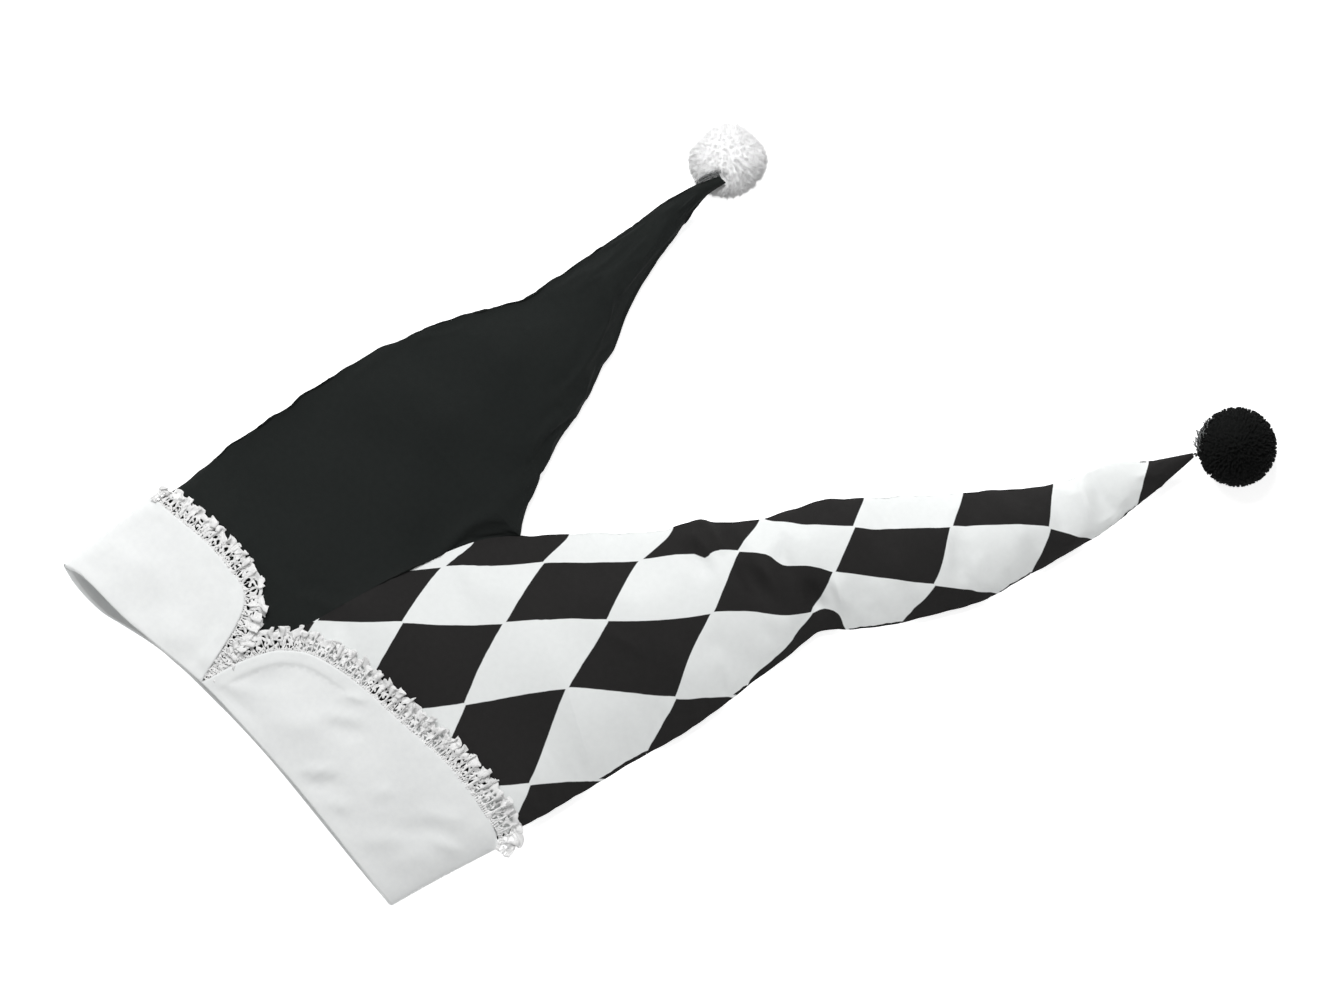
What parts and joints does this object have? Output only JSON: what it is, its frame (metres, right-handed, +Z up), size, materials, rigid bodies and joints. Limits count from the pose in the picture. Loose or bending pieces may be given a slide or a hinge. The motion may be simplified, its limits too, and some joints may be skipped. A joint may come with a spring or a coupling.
{
  "type": "jester hat",
  "caption": "Two-horned jester party hat in black and harlequin cloth with a white lace-edged cuff and pompoms, lying flat.",
  "frame": {"origin": "middle of the bounding box's underside, on the table that the hat lies on, face up", "axes": "+Y up the hat from its mouth to its horns, +X along the mouth to the harlequin side, +Z up from the table"},
  "size_m": [0.4826, 0.611, 0.05],
  "materials": {
    "black_cloth": "matte",
    "harlequin_cloth": "matte",
    "white_cloth": "matte",
    "lace": "matte",
    "white_yarn": "matte",
    "black_yarn": "matte",
    "thread": "satin"
  },
  "bodies": {
    "hat": {"black_crown_front": "black_cloth", "black_crown_back": "black_cloth", "harlequin_crown_front": "harlequin_cloth", "harlequin_crown_back": "harlequin_cloth", "head_band_front": "white_cloth", "head_band_back": "white_cloth", "back_cuff": "white_cloth", "back_cuff_facing": "white_cloth", "left_cuff": "white_cloth", "left_cuff_facing": "white_cloth", "right_cuff": "white_cloth", "right_cuff_facing": "white_cloth", "back_lace": "lace", "left_lace": "lace", "right_lace": "lace", "black_root_fold_front": "black_cloth", "black_root_fold_back": "black_cloth", "harlequin_root_fold_front": "harlequin_cloth", "harlequin_root_fold_back": "harlequin_cloth"},
    "left_cuff_corner": {"left_cuff_corner": "white_cloth", "left_cuff_facing_corner": "white_cloth", "left_lace_corner": "lace"},
    "right_cuff_corner": {"right_cuff_corner": "white_cloth", "right_cuff_facing_corner": "white_cloth", "right_lace_corner": "lace"},
    "black_horn_lower": {"black_horn_lower_front": "black_cloth", "black_horn_lower_back": "black_cloth", "black_bend_fold_front": "black_cloth", "black_bend_fold_back": "black_cloth"},
    "black_horn_upper": {"black_horn_upper_front": "black_cloth", "black_horn_upper_back": "black_cloth"},
    "harlequin_horn_lower": {"harlequin_horn_lower_front": "harlequin_cloth", "harlequin_horn_lower_back": "harlequin_cloth", "harlequin_bend_fold_front": "harlequin_cloth", "harlequin_bend_fold_back": "harlequin_cloth"},
    "harlequin_horn_upper": {"harlequin_horn_upper_front": "harlequin_cloth", "harlequin_horn_upper_back": "harlequin_cloth"},
    "white_pompom_stitch": {"white_tip_stitch": "thread"},
    "white_pompom": {"white_pompom": "white_yarn", "white_pompom_tie": "thread", "white_pompom_knot": "thread"},
    "black_pompom_stitch": {"black_tip_stitch": "thread"},
    "black_pompom": {"black_pompom": "black_yarn", "black_pompom_tie": "thread", "black_pompom_knot": "thread"}
  },
  "joints": [
    {"name": "black_horn_root_fold", "type": "hinge", "parent": "hat", "child": "black_horn_lower", "pos_m": [-0.1313, -0.059, 0.005], "axis": [1, 0, 0], "range_deg": [0, 90], "deforming": ["black_root_fold_front", "black_root_fold_back"]},
    {"name": "black_horn_bend_fold", "type": "hinge", "parent": "black_horn_lower", "child": "black_horn_upper", "pos_m": [-0.1313, 0.06, 0.005], "axis": [1, 0, 0], "range_deg": [0, 100], "deforming": ["black_bend_fold_front", "black_bend_fold_back"]},
    {"name": "harlequin_horn_root_fold", "type": "hinge", "parent": "hat", "child": "harlequin_horn_lower", "pos_m": [0.02792, -0.09835, 0.005], "axis": [0.8934, -0.4493, 0], "range_deg": [0, 90], "deforming": ["harlequin_root_fold_front", "harlequin_root_fold_back"]},
    {"name": "harlequin_horn_bend_fold", "type": "hinge", "parent": "harlequin_horn_lower", "child": "harlequin_horn_upper", "pos_m": [0.08478, 0.02584, 0.005], "axis": [0.8934, -0.4493, 0], "range_deg": [0, 100], "deforming": ["harlequin_bend_fold_front", "harlequin_bend_fold_back"]},
    {"name": "white_pompom_sway", "type": "hinge", "parent": "black_horn_upper", "child": "white_pompom_stitch", "pos_m": [-0.1299, 0.163, 0.038], "axis": [0, 0, 1], "range_deg": [-35, 3]},
    {"name": "white_pompom_lift", "type": "hinge", "parent": "white_pompom_stitch", "child": "white_pompom", "pos_m": [-0.1299, 0.163, 0.038], "axis": [0.9093, 0.4161, 0], "range_deg": [0, 80]},
    {"name": "black_pompom_sway", "type": "hinge", "parent": "harlequin_horn_upper", "child": "black_pompom_stitch", "pos_m": [0.2017, 0.2586, 0.02], "axis": [0, 0, 1], "range_deg": [-50, 60]},
    {"name": "black_pompom_lift", "type": "hinge", "parent": "black_pompom_stitch", "child": "black_pompom", "pos_m": [0.2017, 0.2586, 0.02], "axis": [0.8401, -0.5425, 0], "range_deg": [0, 50]},
    {"name": "left_cuff_corner_fold", "type": "hinge", "parent": "hat", "child": "left_cuff_corner", "pos_m": [-0.1543, -0.253, 0.0446], "axis": [0.72, -0.694, 0], "range_deg": [0, 150]},
    {"name": "right_cuff_corner_fold", "type": "hinge", "parent": "hat", "child": "right_cuff_corner", "pos_m": [-0.0983, -0.254, 0.0446], "axis": [0.6303, 0.7764, 0], "range_deg": [0, 150]}
  ]
}
